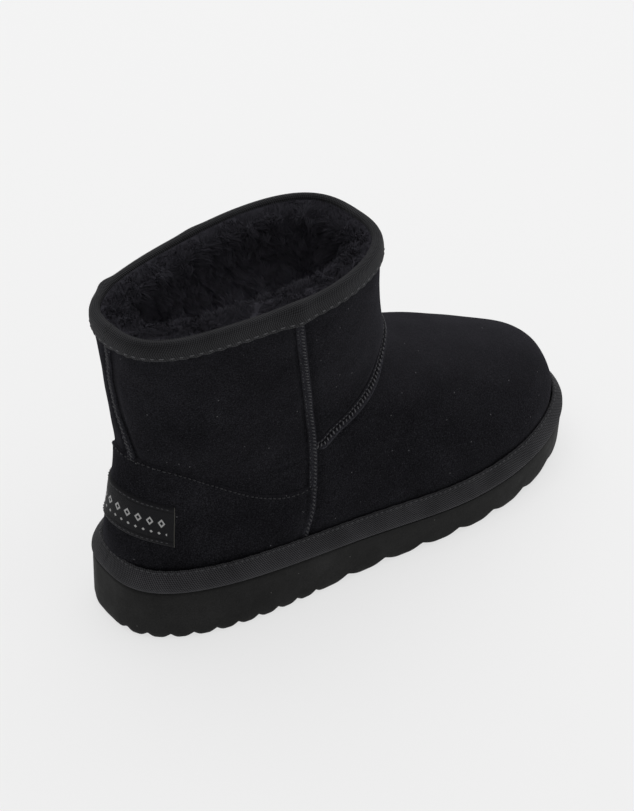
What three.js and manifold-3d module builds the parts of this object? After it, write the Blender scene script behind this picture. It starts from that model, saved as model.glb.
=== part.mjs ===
// Sheepskin ankle boot, right foot, standing empty on its sole.
// Millimetres, +Z up, toe towards +X, medial side towards +Y, origin under the middle of its box.
import * as THREE from "three";
import { mergeVertices } from "three/addons/utils/BufferGeometryUtils.js";
import Module from "manifold-3d";

const wasm = await Module();
wasm.setup();

// Driving dimensions
const WALL = 10.0; // sheepskin, leather and deep pile together
const COLLAR_WALL = 5.0; // bound edge, where the pile is trimmed short
const TRIM_START = 0.85; // height share where the wall begins to thin towards the collar
const GAP = 0.3; // clearance between pieces that meet
const SOLE_HEEL = 30.0; // platform height under the heel
const SOLE_BALL = 19.0; // platform height under the ball
const TOE_SPRING = 5.6;
const SPRING_START = 190.0;
const SPRING_LENGTH = 80.0;
const WEDGE_START = 30.0;
const WEDGE_LENGTH = 160.0;
const LEAN = -0.15; // the collar drops this much per mm towards the medial side
const LEAN_START = 0.55;
const SEAT_FADE = 0.25; // how far up the upper its sections follow the top of the sole

// The sole's outline: ends, half widths at heel and ball on each side, waist pinch, roundness.
const OUTLINE = {
  backX: 3.6, frontX: 274.5, heelLat: 49, heelMed: 41.5, ballLat: 55.5, ballMed: 50.5,
  pinchLat: 6, pinchMed: 5, bluntBack: 2.8, bluntFront: 2.45, backY: 0, frontY: 4,
};

// The upper's outer surface, one tilted section a row, from the sole up to the collar.
const SECTION_COLUMNS = [
  "backX", "backZ", "frontX", "frontZ", "heelLat", "heelMed", "ballLat", "ballMed",
  "pinchLat", "pinchMed", "bluntBack", "bluntFront", "backY", "frontY",
];
const SECTIONS = [
  [9.5, 30, 267, 24, 43.5, 36, 49.5, 45, 6, 5, 2.7, 2.45, 0, 4], // feather line
  [8.5, 48, 268, 42, 44, 35.5, 49.5, 45, 5, 4, 2.25, 2.45, 1.5, 4], // toe wall
  [11.5, 70, 256, 61, 43, 33.5, 45.5, 42.5, 3, 2, 2.1, 2.15, 2.5, 4], // low vamp
  [14.5, 92, 217, 81.5, 41, 34, 41, 40, 2, 1, 2.1, 2.1, 2, 4], // high vamp
  [13.2, 112, 169, 102, 39.5, 35.5, 39, 39, 0, 0, 2.25, 2.15, 1, 5], // throat
  [10.8, 132, 158.5, 124, 38, 39, 41, 41, 0, 0, 2.4, 2.4, 0, 5], // ankle
  [7.6, 155, 153.5, 150, 38, 41, 44, 43, 0, 0, 2.5, 2.65, -2, 6], // shaft
  [4, 179, 151, 182, 39, 43, 46, 46, 0, 0, 2.7, 2.7, -4, 6], // collar
];

// Ripples under the sole, running across it: fine from heel to waist, coarse under the forefoot.
const RIPPLES = [
  { from: 0.8, to: 99.8, pitch: 11, depth: 2.2 },
  { from: 99.8, to: 262, pitch: 22, depth: 2.8 },
];
const CREST_SHARE = 0.5; // flat share of each ripple

const AROUND = 64; // points round the upper
const UPPER_LEVELS = 18;

const clamp = (value, low, high) => Math.min(high, Math.max(low, value));
const ease = (t) => clamp(t, 0, 1) ** 2 * (3 - 2 * clamp(t, 0, 1));
const mix = (a, b, t) => a + (b - a) * t;
const share = (angle) => (1 - Math.cos(angle)) / 2;

// ---- The last: sections, surface and offsets

// Height of the sole's upper face along the foot.
function soleTop(x) {
  const wedge = mix(SOLE_HEEL, SOLE_BALL, ease((x - WEDGE_START) / WEDGE_LENGTH));
  return wedge + toeLift(x);
}

function toeLift(x) {
  return TOE_SPRING * clamp((x - SPRING_START) / SPRING_LENGTH, 0, 1.2) ** 2;
}

// Plan view of one section at an angle: 0 at the back, half a turn at the front, lateral side first.
function planPoint(row, angle, inset = 0) {
  const u = share(angle);
  const blunt = u < 0.5 ? row.bluntBack : row.bluntFront;
  const cap = Math.max(0, 1 - Math.abs(2 * u - 1) ** blunt) ** (1 / blunt);
  const toBall = ease((u - 0.2) / 0.5);
  const waist = Math.sin(Math.PI * u) ** 4;
  const lateral = mix(row.heelLat, row.ballLat, toBall) - row.pinchLat * waist - inset;
  const medial = mix(row.heelMed, row.ballMed, toBall) - row.pinchMed * waist - inset;
  const side = Math.sin(angle) > 0 ? -lateral : medial;
  const x = mix(row.backX + inset, row.frontX - inset, u);
  const y = mix(row.backY, row.frontY, u * u) + side * cap;
  return new THREE.Vector2(x, y);
}

// One row of the section table at height share v, through the rows by Catmull-Rom.
function sectionAt(v) {
  const last = SECTIONS.length - 1;
  const place = clamp(v, 0, 1) * last;
  const i = Math.min(Math.floor(place), last - 1);
  const t = place - i;
  const row = {};
  SECTION_COLUMNS.forEach((name, k) => {
    const p1 = SECTIONS[i][k];
    const p2 = SECTIONS[i + 1][k];
    const p0 = i > 0 ? SECTIONS[i - 1][k] : 2 * p1 - p2;
    const p3 = i < last - 1 ? SECTIONS[i + 2][k] : 2 * p2 - p1;
    const curve = 2 * p0 - 5 * p1 + 4 * p2 - p3;
    const twist = 3 * p1 - 3 * p2 + p3 - p0;
    row[name] = 0.5 * (2 * p1 + (p2 - p0) * t + curve * t ** 2 + twist * t ** 3);
  });
  return row;
}

function skinPoint(v, angle) {
  const row = sectionAt(v);
  const u = share(angle);
  const plan = planPoint(row, angle);
  const seat = Math.max(0, 1 - v / SEAT_FADE) ** 2;
  const foot = sectionAt(0);
  const footX = mix(foot.backX, foot.frontX, u);
  const footZ = mix(foot.backZ, foot.frontZ, u);
  const lean = LEAN * plan.y * clamp((v - LEAN_START) / (1 - LEAN_START), 0, 1);
  const z = mix(row.backZ, row.frontZ, u) + seat * (soleTop(footX) - footZ) + lean;
  return new THREE.Vector3(plan.x, plan.y, z + GAP);
}

// A point on the upper's outer surface, moved along the outward normal.
function offsetPoint(v, angle, offset = 0) {
  const point = skinPoint(v, angle);
  if (offset === 0) return point;
  const stepV = 0.004;
  const stepA = 0.02;
  const up = skinPoint(Math.min(v + stepV, 1), angle).sub(skinPoint(Math.max(v - stepV, 0), angle));
  const round = skinPoint(v, angle + stepA).sub(skinPoint(v, angle - stepA));
  const normal = round.cross(up).normalize();
  return point.addScaledVector(normal, offset);
}

// ---- Solids from stacked rings

const angles = (count) => Array.from({ length: count }, (_, j) => (2 * Math.PI * j) / count);

// Quads between two rings of equal length, which both run the same way round.
function joinRings(indices, lower, upper, count) {
  for (let j = 0; j < count; j++) {
    const k = (j + 1) % count;
    indices.push(lower + j, lower + k, upper + k, lower + j, upper + k, upper + j);
  }
}

// A lid across a ring: rungs run between points at the same place along the foot.
function lidRing(indices, start, count, facesUp) {
  const half = count / 2;
  const push = (a, b, c) => indices.push(...(facesUp ? [a, b, c] : [a, c, b]));
  for (let j = 0; j < half; j++) {
    const lateral = start + j;
    const medial = start + ((count - j) % count);
    const nextLateral = start + j + 1;
    const nextMedial = start + count - j - 1;
    if (j < half - 1) push(lateral, nextLateral, nextMedial);
    if (j < half - 1 && j > 0) push(lateral, nextMedial, medial);
    if (j === half - 1) push(lateral, nextLateral, medial);
  }
}

function stackGeometry(rings) {
  const count = rings[0].length;
  const positions = rings.flat().flatMap((p) => [p.x, p.y, p.z]);
  const indices = [];
  for (let i = 0; i + 1 < rings.length; i++) joinRings(indices, i * count, (i + 1) * count, count);
  lidRing(indices, 0, count, false);
  lidRing(indices, (rings.length - 1) * count, count, true);
  return indexedGeometry(positions, indices);
}

function indexedGeometry(positions, indices) {
  const geometry = new THREE.BufferGeometry();
  geometry.setAttribute("position", new THREE.Float32BufferAttribute(positions, 3));
  geometry.setIndex(indices);
  return geometry;
}

function toSolid(geometry) {
  const merged = mergeVertices(geometry, 1e-4);
  const vertProperties = new Float32Array(merged.getAttribute("position").array);
  const triVerts = new Uint32Array(merged.getIndex().array);
  return new wasm.Manifold(new wasm.Mesh({ numProp: 3, vertProperties, triVerts }));
}

function toGeometry(solid) {
  const mesh = solid.getMesh();
  return indexedGeometry(Array.from(mesh.vertProperties), Array.from(mesh.triVerts));
}

// The wall's thickness at height share v.
function wallAt(v) {
  return mix(WALL, COLLAR_WALL, ease((v - TRIM_START) / (1 - TRIM_START)));
}

// The upper's whole body at an offset from its outer surface, with its ends moved up or down.
function body(offsetAt, below, above) {
  const turn = angles(AROUND);
  const rings = [];
  for (let i = 0; i < UPPER_LEVELS; i++) {
    const v = i / (UPPER_LEVELS - 1);
    rings.push(turn.map((angle) => offsetPoint(v, angle, offsetAt(v))));
  }
  const moved = (ring, dz) => ring.map((p) => p.clone().setZ(p.z + dz));
  if (below > 0) rings.unshift(moved(rings[0], -below));
  if (above > 0) rings.push(moved(rings[rings.length - 1], above));
  return toSolid(stackGeometry(rings));
}

// ---- Pieces

// Depth of the ripples above the ground plane.
function rippleDepth(x) {
  const zone = RIPPLES.find((z) => x >= z.from && x < z.to);
  if (!zone) return 0;
  const phase = ((x - zone.from) / zone.pitch) % 1;
  const inGroove = phase > CREST_SHARE ? (phase - CREST_SHARE) / (1 - CREST_SHARE) : 0;
  return zone.depth * Math.sin(Math.PI * inGroove);
}

// Wall of the platform from the ground up: height share and inset from the outline.
const SOLE_WALL = [
  { height: 0.0, inset: 2.2 },
  { height: 0.05, inset: 1.1 },
  { height: 0.14, inset: 0.6 },
  { height: 0.93, inset: 0.0 },
  { height: 1.0, inset: 0.6 },
];
const SOLE_STATIONS = 116;
const SOLE_END_PACKING = 0.5; // 0 spaces the stations evenly, 1 crowds them at the ends

function soleAngles() {
  const half = Array.from({ length: SOLE_STATIONS + 1 }, (_, j) => {
    const t = j / SOLE_STATIONS;
    return Math.acos(1 - 2 * mix(t, share(Math.PI * t), SOLE_END_PACKING));
  });
  const back = half.slice(1, -1).reverse();
  return [...half, ...back.map((angle) => 2 * Math.PI - angle)];
}

function soleGeometry() {
  const turn = soleAngles();
  const rings = SOLE_WALL.map(({ height, inset }) =>
    turn.map((angle) => {
      const plan = planPoint(OUTLINE, angle, inset);
      const fade = Math.max(0, 1 - height / 0.14);
      const ground = toeLift(plan.x) + rippleDepth(plan.x) * fade;
      return new THREE.Vector3(plan.x, plan.y, mix(ground, soleTop(plan.x), height));
    })
  );
  return stackGeometry(rings);
}

// Insole: a shallow footbed inside the wall, with its upper edge eased.
const INSOLE_LEVELS = [
  { height: GAP, inset: 2.4 },
  { height: 4.0, inset: 2.4 },
  { height: 5.5, inset: 3.8 },
];

function insoleGeometry() {
  const foot = sectionAt(0);
  const rings = INSOLE_LEVELS.map(({ height, inset }) =>
    angles(64).map((angle) => {
      const plan = planPoint(foot, angle, WALL + inset);
      return new THREE.Vector3(plan.x, plan.y, soleTop(plan.x) + height);
    })
  );
  return stackGeometry(rings);
}

// Rand: a woven foxing strip on the platform's edge, leaning in against the upper.
const RAND_PROFILE = [
  { height: 0.0, inset: -0.1 },
  { height: 1.5, inset: -0.6 },
  { height: 4.0, inset: 0.0 },
  { height: 7.0, inset: 1.7 },
  { height: 9.2, inset: 3.4 },
  { height: 10.0, inset: 4.6 },
];

function randGeometry() {
  const rings = RAND_PROFILE.map(({ height, inset }) =>
    angles(AROUND).map((angle) => {
      const plan = planPoint(OUTLINE, angle, inset);
      return new THREE.Vector3(plan.x, plan.y, soleTop(plan.x) + GAP + height);
    })
  );
  return toGeometry(toSolid(stackGeometry(rings)).subtract(body(() => GAP, 6, 0)));
}

// A closed strip whose cross-section runs round the collar.
// Each corner: how far out from the skin, and how far below the collar edge.
const TAPE_GAP = 0.5; // the tape's legs stand a little further off the curved wall
const BINDING_PROFILE = [
  { out: 1.4, down: 8.4 },
  { out: 1.6, down: 3.5 },
  { out: 1.2, down: -0.3 },
  { out: -0.4, down: -1.2 },
  { out: -COLLAR_WALL + 0.4, down: -1.2 },
  { out: -COLLAR_WALL - 1.1, down: -0.4 },
  { out: -COLLAR_WALL - 1.8, down: 3.0 },
  { out: -COLLAR_WALL - 2 * TAPE_GAP, down: 3.0 },
  { out: -COLLAR_WALL - TAPE_GAP, down: -GAP },
  { out: TAPE_GAP, down: -GAP },
  { out: TAPE_GAP, down: 8.4 },
];

// The collar's edge lies in one plane, which leans with the boot.
function collarHeight(x, y) {
  const collar = sectionAt(1);
  const u = (x - collar.backX) / (collar.frontX - collar.backX);
  return mix(collar.backZ, collar.frontZ, u) + LEAN * y + GAP;
}

function collarPoint(angle, out, down) {
  const step = 0.02;
  const rise = skinPoint(1, angle).distanceTo(skinPoint(1 - step, angle)) / step;
  if (down > 0) return offsetPoint(1 - down / rise, angle, out);
  const point = offsetPoint(1, angle, out);
  return point.setZ(collarHeight(point.x, point.y) - down);
}

function bindingGeometry() {
  const turn = angles(AROUND);
  const profile = BINDING_PROFILE;
  const positions = [];
  for (const angle of turn) {
    for (const { out, down } of profile) positions.push(...collarPoint(angle, out, down).toArray());
  }
  const indices = [];
  const at = (j, k) => (j % turn.length) * profile.length + (k % profile.length);
  for (let j = 0; j < turn.length; j++) {
    for (let k = 0; k < profile.length; k++) {
      const corner = [at(j, k), at(j + 1, k), at(j + 1, k + 1), at(j, k + 1)];
      indices.push(corner[0], corner[1], corner[2], corner[0], corner[2], corner[3]);
    }
  }
  return indexedGeometry(positions, indices);
}

// A patch lying on the upper: edges given as height shares at each angle round the back.
function patchGeometry({ from, to, low, high, near, far, columns, rows }) {
  const positions = [];
  const layer = (offset) => {
    for (let j = 0; j <= columns; j++) {
      const angle = mix(from, to, j / columns);
      for (let i = 0; i <= rows; i++) {
        const v = mix(low(angle), high(angle), i / rows);
        positions.push(...offsetPoint(v, angle, offset).toArray());
      }
    }
  };
  layer(near);
  layer(far);
  const size = (columns + 1) * (rows + 1);
  const at = (side, j, i) => side * size + j * (rows + 1) + i;
  const indices = [];
  const quad = (a, b, c, d) => indices.push(a, b, c, a, c, d);
  for (let j = 0; j < columns; j++) {
    for (let i = 0; i < rows; i++) {
      quad(at(1, j, i), at(1, j + 1, i), at(1, j + 1, i + 1), at(1, j, i + 1));
      quad(at(0, j, i), at(0, j, i + 1), at(0, j + 1, i + 1), at(0, j + 1, i));
    }
    quad(at(0, j, 0), at(0, j + 1, 0), at(1, j + 1, 0), at(1, j, 0));
    quad(at(0, j, rows), at(1, j, rows), at(1, j + 1, rows), at(0, j + 1, rows));
  }
  for (let i = 0; i < rows; i++) {
    quad(at(0, 0, i), at(1, 0, i), at(1, 0, i + 1), at(0, 0, i + 1));
    quad(at(0, columns, i), at(0, columns, i + 1), at(1, columns, i + 1), at(1, columns, i));
  }
  return indexedGeometry(positions, indices);
}

// Height share where the skin at an angle reaches a height.
function shareAtHeight(angle, height) {
  let low = 0;
  let high = 1;
  for (let i = 0; i < 30; i++) {
    const middle = (low + high) / 2;
    if (skinPoint(middle, angle).z < height) low = middle;
    else high = middle;
  }
  return low;
}

// Heel counter: a suede overlay from side seam to side seam, highest near the back seam.
const COUNTER = {
  reach: 1.22, crest: 0.14, fall: 1.05, shape: 1.68, peak: 100.3, side: 65.6, foot: 11.2, near: GAP, far: 1.3,
};

function counterTop(angle) {
  const away = Math.min(1, Math.abs(angle - COUNTER.crest) / COUNTER.fall);
  return mix(COUNTER.side, COUNTER.peak, (1 + Math.cos(Math.PI * away ** COUNTER.shape)) / 2);
}

function counterGeometry() {
  const foot = (angle) => {
    const x = skinPoint(0, angle).x;
    return shareAtHeight(angle, soleTop(x) + COUNTER.foot);
  };
  return patchGeometry({
    from: -COUNTER.reach,
    to: COUNTER.reach,
    low: foot,
    high: (angle) => shareAtHeight(angle, counterTop(angle)),
    near: COUNTER.near,
    far: COUNTER.far,
    columns: 30,
    rows: 4,
  });
}

// Heel label: a woven tab sewn over the counter, across the back seam, its ends hanging lower.
const LABEL = { reach: 0.55, low: 57.5, high: 80, drop: 6.5, near: 1.6, far: 2.4 };

function labelGeometry() {
  const sag = (angle) => LABEL.drop * (angle / LABEL.reach) ** 2;
  return patchGeometry({
    from: -LABEL.reach,
    to: LABEL.reach,
    low: (angle) => shareAtHeight(angle, LABEL.low - sag(angle)),
    high: (angle) => shareAtHeight(angle, LABEL.high - sag(angle)),
    near: LABEL.near,
    far: LABEL.far,
    columns: 20,
    rows: 2,
  });
}

// ---- Assembly

const finish = (color, roughness) => new THREE.MeshStandardMaterial({ color, roughness, metalness: 0 });
const FINISH = {
  suede: finish(0x1c1c1e, 0.95),
  foam: finish(0x2a2a29, 0.7),
  tape: finish(0x303032, 0.85),
  fleece: finish(0x17171a, 1.0),
  woven: finish(0x232326, 0.8),
};

function upperGeometry() {
  return toGeometry(body(() => 0, 0, 0).subtract(body((v) => -wallAt(v), 4, 4)));
}

const PIECES = [
  { name: "sole", geometry: soleGeometry(), material: FINISH.foam },
  { name: "insole", geometry: insoleGeometry(), material: FINISH.fleece },
  { name: "upper", geometry: upperGeometry(), material: FINISH.suede },
  { name: "rand", geometry: randGeometry(), material: FINISH.tape },
  { name: "collar_binding", geometry: bindingGeometry(), material: FINISH.tape },
  { name: "heel_counter", geometry: counterGeometry(), material: FINISH.suede },
  { name: "heel_label", geometry: labelGeometry(), material: FINISH.woven },
];

const boot = new THREE.Group();
boot.name = "sheepskin_ankle_boot";
for (const { name, geometry, material } of PIECES) {
  geometry.computeVertexNormals();
  const mesh = new THREE.Mesh(geometry, material);
  mesh.name = name;
  boot.add(mesh);
}

// The middle of the boot's box stands over the origin, with its lowest point on z = 0.
const box = new THREE.Box3().setFromObject(boot);
const middle = box.getCenter(new THREE.Vector3());
boot.position.set(-middle.x, -middle.y, -box.min.z);
boot.updateMatrixWorld(true);

export default boot;
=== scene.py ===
"""Looks for the sheepskin ankle boot: suede, pile, tapes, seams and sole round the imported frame.

Sections and sizes are in millimetres in the last's own frame, heel at x = 0, as in the part's source;
place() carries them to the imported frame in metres.
"""

import math

import bmesh
import bpy
import numpy as np
from mathutils import Matrix, Vector
from mathutils.kdtree import KDTree


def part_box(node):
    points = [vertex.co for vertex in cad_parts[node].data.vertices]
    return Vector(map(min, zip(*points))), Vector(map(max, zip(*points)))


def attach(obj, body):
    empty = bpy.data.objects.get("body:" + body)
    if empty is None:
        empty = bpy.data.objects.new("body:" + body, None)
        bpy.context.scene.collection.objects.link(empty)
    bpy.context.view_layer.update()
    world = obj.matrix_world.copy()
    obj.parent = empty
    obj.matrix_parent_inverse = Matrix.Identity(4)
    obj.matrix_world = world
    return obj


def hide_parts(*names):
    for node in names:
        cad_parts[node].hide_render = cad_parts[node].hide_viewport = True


MM = 0.001
TURN = 2 * math.pi

# ---- The last, as in the part's source

SOLE_HEEL = 30.0
SOLE_BALL = 19.0
TOE_SPRING = 5.6
SPRING_START = 190.0
SPRING_LENGTH = 80.0
WEDGE_START = 30.0
WEDGE_LENGTH = 160.0
LEAN = -0.15
LEAN_START = 0.55
SEAT_FADE = 0.25
GAP = 0.3

COLUMNS = (
    "backX", "backZ", "frontX", "frontZ", "heelLat", "heelMed", "ballLat", "ballMed",
    "pinchLat", "pinchMed", "bluntBack", "bluntFront", "backY", "frontY",
)
OUTLINE = dict(zip(COLUMNS, (3.6, 0, 274.5, 0, 49, 41.5, 55.5, 50.5, 6, 5, 2.8, 2.45, 0, 4)))
SECTIONS = np.array([
    (9.5, 30, 267, 24, 43.5, 36, 49.5, 45, 6, 5, 2.7, 2.45, 0, 4),
    (8.5, 48, 268, 42, 44, 35.5, 49.5, 45, 5, 4, 2.25, 2.45, 1.5, 4),
    (11.5, 70, 256, 61, 43, 33.5, 45.5, 42.5, 3, 2, 2.1, 2.15, 2.5, 4),
    (14.5, 92, 217, 81.5, 41, 34, 41, 40, 2, 1, 2.1, 2.1, 2, 4),
    (13.2, 112, 169, 102, 39.5, 35.5, 39, 39, 0, 0, 2.25, 2.15, 1, 5),
    (10.8, 132, 158.5, 124, 38, 39, 41, 41, 0, 0, 2.4, 2.4, 0, 5),
    (7.6, 155, 153.5, 150, 38, 41, 44, 43, 0, 0, 2.5, 2.65, -2, 6),
    (4, 179, 151, 182, 39, 43, 46, 46, 0, 0, 2.7, 2.7, -4, 6),
])


def mix(a, b, t):
    return a + (b - a) * t


def ease(t):
    t = np.clip(t, 0, 1)
    return t * t * (3 - 2 * t)


def toe_lift(x):
    return TOE_SPRING * np.clip((x - SPRING_START) / SPRING_LENGTH, 0, 1.2) ** 2


def sole_top(x):
    return mix(SOLE_HEEL, SOLE_BALL, ease((x - WEDGE_START) / WEDGE_LENGTH)) + toe_lift(x)


def plan(row, angle, inset=0.0):
    """x, y and share along the foot of one section: angle 0 at the back, lateral side first."""
    u = (1 - np.cos(angle)) / 2
    blunt = np.where(u < 0.5, row["bluntBack"], row["bluntFront"])
    cap = np.maximum(0, 1 - np.abs(2 * u - 1) ** blunt) ** (1 / blunt)
    to_ball = ease((u - 0.2) / 0.5)
    waist = np.sin(np.pi * u) ** 4
    lateral = mix(row["heelLat"], row["ballLat"], to_ball) - row["pinchLat"] * waist - inset
    medial = mix(row["heelMed"], row["ballMed"], to_ball) - row["pinchMed"] * waist - inset
    side = np.where(np.sin(angle) > 0, -lateral, medial)
    x = mix(row["backX"] + inset, row["frontX"] - inset, u)
    return x, mix(row["backY"], row["frontY"], u * u) + side * cap, u


def section(v):
    """Columns of the section table at height share v, by Catmull-Rom through its rows."""
    last = len(SECTIONS) - 1
    spot = np.clip(v, 0, 1) * last
    i = np.minimum(np.floor(spot).astype(int), last - 1)
    t = (spot - i)[..., None]
    p1, p2 = SECTIONS[i], SECTIONS[i + 1]
    p0 = np.where((i > 0)[..., None], SECTIONS[np.maximum(i - 1, 0)], 2 * p1 - p2)
    p3 = np.where((i < last - 1)[..., None], SECTIONS[np.minimum(i + 2, last)], 2 * p2 - p1)
    bend = (2 * p0 - 5 * p1 + 4 * p2 - p3) * t ** 2
    twist = (3 * p1 - 3 * p2 + p3 - p0) * t ** 3
    rows = 0.5 * (2 * p1 + (p2 - p0) * t + bend + twist)
    return {name: rows[..., k] for k, name in enumerate(COLUMNS)}


def skin(v, angle):
    """Points of the upper's outer surface, in millimetres in the last's frame."""
    v, angle = np.broadcast_arrays(np.asarray(v, float), np.asarray(angle, float))
    row = section(v)
    x, y, u = plan(row, angle)
    foot = dict(zip(COLUMNS, SECTIONS[0]))
    seat = np.maximum(0, 1 - v / SEAT_FADE) ** 2
    foot_x = mix(foot["backX"], foot["frontX"], u)
    foot_z = mix(foot["backZ"], foot["frontZ"], u)
    lean = LEAN * y * np.clip((v - LEAN_START) / (1 - LEAN_START), 0, 1)
    z = mix(row["backZ"], row["frontZ"], u) + seat * (sole_top(foot_x) - foot_z) + lean
    return np.stack([x, y, z + GAP], -1)


def unit(a):
    return a / np.maximum(np.linalg.norm(a, axis=-1, keepdims=True), 1e-9)


def skin_normal(v, angle):
    v, angle = np.broadcast_arrays(np.asarray(v, float), np.asarray(angle, float))
    up = skin(np.minimum(v + 0.004, 1), angle) - skin(np.maximum(v - 0.004, 0), angle)
    around = skin(v, angle + 0.02) - skin(v, angle - 0.02)
    return unit(np.cross(around, up))


# ---- Seam lines

# Most rows of these three tables are points read off the photo and carried onto the fitted surface by a
# scratch program.

# Side seam: height share and place along the foot.
SIDE_SEAM = ((0.0, 91.5), (0.08, 93.3), (0.17, 96.7), (0.28, 98.1), (0.37, 98.4), (0.49, 97.2),
             (0.66, 93.3), (0.83, 86.6), (0.98, 80.9), (1.0, 80.3))
# Back seam: height share and degrees to the lateral side. It stops at the counter.
BACK_SEAM = ((0.42, 7), (0.485, 8.5), (0.568, 4.2), (0.63, 0.5), (0.71, -1.8), (0.85, -2.3), (1.0, -1))
# Throat seam: degrees from the back and height share, from a side seam to the front.
THROAT_SEAM = ((82.5, 0.428), (92.7, 0.478), (105.6, 0.52), (118.2, 0.552), (131.7, 0.588), (143.4, 0.632),
               (152, 0.665), (165, 0.692), (180, 0.70))


def smooth_through(points, x):
    """Natural-looking curve through (x, y) points: a cubic with finite-difference slopes."""
    px, py = (np.array(c, float) for c in zip(*points))
    slope = np.gradient(py, px)
    i = np.clip(np.searchsorted(px, x) - 1, 0, len(px) - 2)
    h = px[i + 1] - px[i]
    t = np.clip((x - px[i]) / h, 0, 1)
    a = (2 * t ** 3 - 3 * t ** 2 + 1) * py[i] + (t ** 3 - 2 * t ** 2 + t) * h * slope[i]
    b = (3 * t ** 2 - 2 * t ** 3) * py[i + 1] + (t ** 3 - t ** 2) * h * slope[i + 1]
    return a + b


def side_seam(v, side=1):
    """Angle of a side seam at height share v: side is 1 for the lateral one, -1 for the medial one."""
    row = section(np.asarray(v, float))
    along = (smooth_through(SIDE_SEAM, v) - row["backX"]) / (row["frontX"] - row["backX"])
    return side * np.arccos(1 - 2 * along)


def back_seam(v):
    return np.radians(smooth_through(BACK_SEAM, v))


def throat_seam(angle):
    """Height share of the throat seam at an angle, the same on both sides of the front."""
    folded = np.degrees(np.pi - np.abs(np.mod(angle, TURN) - np.pi))
    return smooth_through(THROAT_SEAM, folded)


# ---- Relief of the suede: creases, hollows and the dips beside the seams, in millimetres

# Soft troughs and ridges: height share, degrees, half length along, half width up, height, slant
CREASES = (
    dict(v=0.60, deg=150, along=34, up=0.035, high=-0.35, slant=0.0010),
    dict(v=0.60, deg=-150, along=34, up=0.035, high=-0.35, slant=-0.0010),
    dict(v=0.52, deg=60, along=22, up=0.05, high=-0.43, slant=0.0012),
    dict(v=0.45, deg=52, along=20, up=0.03, high=0.27, slant=0.0016),
    dict(v=0.52, deg=-60, along=24, up=0.05, high=-0.43, slant=-0.0012),
    dict(v=0.43, deg=-48, along=18, up=0.03, high=0.27, slant=-0.0016),
    dict(v=0.66, deg=115, along=18, up=0.05, high=-0.31, slant=-0.0015),
    dict(v=0.76, deg=35, along=20, up=0.07, high=-0.39, slant=0.0020),
    dict(v=0.82, deg=-70, along=24, up=0.06, high=0.35, slant=0.0010),
    dict(v=0.38, deg=100, along=16, up=0.03, high=-0.23, slant=0.0008),
    dict(v=0.38, deg=-105, along=16, up=0.03, high=-0.23, slant=0.0008),
    dict(v=0.24, deg=128, along=18, up=0.05, high=0.20, slant=0.0),
    dict(v=0.39, deg=70, along=7, up=0.009, high=-0.48, slant=0.0012),
)


def signed_angle(a, b):
    return np.mod(a - b + np.pi, TURN) - np.pi


def bell(x):
    return np.exp(-x * x)


def swell(points, size, seed):
    """Smooth noise from a few sine waves of about one size, between about -1 and 1."""
    rng = np.random.default_rng(seed)
    total = 0
    for _ in range(9):
        wave = unit(rng.normal(size=3)) * rng.uniform(0.7, 1.6) * TURN / size
        total = total + np.sin(points @ wave + rng.uniform(0, TURN))
    return total / 3.5


def mm_around(v, angle):
    """Millimetres round the skin for one radian."""
    return np.linalg.norm(skin(v, angle + 0.01) - skin(v, angle - 0.01), axis=-1) / 0.02


def seam_dips(v, angle):
    """Valleys beside the side and back seams, and along the throat seam."""
    around = mm_around(v, angle)
    above_counter = ease((v - 0.45) / 0.05)
    lines = ((side_seam(v), 0.8), (side_seam(v, -1), 0.8), (back_seam(v), 0.7 * above_counter))
    dip = 0
    for line, depth in lines:
        near = signed_angle(angle, line) * around
        dip = dip - depth * (bell((np.abs(near) - 3.4) / 1.6) + 0.4 * bell(near / 8))
    rise = np.linalg.norm(skin(v, angle) - skin(np.maximum(v - 0.01, 0), angle), axis=-1) / 0.01
    off = (v - throat_seam(angle)) * rise
    on_seam = ease((np.degrees(np.abs(signed_angle(angle, 0))) - 82) / 8)
    return dip - on_seam * (0.8 * bell((off - 3.0) / 1.6) + 0.5 * bell((off + 3.6) / 2.5))


def relief(v, angle):
    v, angle = np.broadcast_arrays(np.asarray(v, float), np.asarray(angle, float))
    points = skin(v, angle)
    total = 0.45 * swell(points, 60, 3) + 0.16 * swell(points, 22, 4)
    for c in CREASES:
        near = signed_angle(angle, math.radians(c["deg"]))
        along = np.degrees(near) / c["along"]
        up = (v - c["v"] - c["slant"] * np.degrees(near)) / c["up"]
        total = total + c["high"] * bell(along) * bell(up)
    still = ease(v / 0.10) * ease((1 - v) / 0.05)
    return total * still + seam_dips(v, angle) * ease(v / 0.08)


def surface(v, angle, out=0.0):
    """The finished suede surface: the skin with its relief, moved out along the normal."""
    lift = relief(v, angle) + out
    return skin(v, angle) + skin_normal(v, angle) * lift[..., None]


# ---- Frame, units and mesh helpers

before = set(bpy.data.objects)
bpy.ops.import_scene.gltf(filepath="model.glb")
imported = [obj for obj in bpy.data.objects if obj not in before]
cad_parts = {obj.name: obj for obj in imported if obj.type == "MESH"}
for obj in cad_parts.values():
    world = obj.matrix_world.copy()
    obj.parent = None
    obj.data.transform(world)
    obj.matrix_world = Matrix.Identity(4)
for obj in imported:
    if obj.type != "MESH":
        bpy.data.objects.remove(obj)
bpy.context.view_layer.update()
SOLE_LOW, SOLE_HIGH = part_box("sole")
outline_y = plan(OUTLINE, np.linspace(0, TURN, 1441))[1]
SHIFT = np.array([
    SOLE_LOW.x - OUTLINE["backX"] * MM,
    (SOLE_LOW.y + SOLE_HIGH.y) / 2 - (outline_y.min() + outline_y.max()) / 2 * MM,
    SOLE_LOW.z,
])


def place(points):
    """Millimetres in the last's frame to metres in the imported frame."""
    return np.asarray(points, float) * MM + SHIFT


def show(obj):
    bpy.context.scene.collection.objects.link(obj)
    return obj


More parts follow.
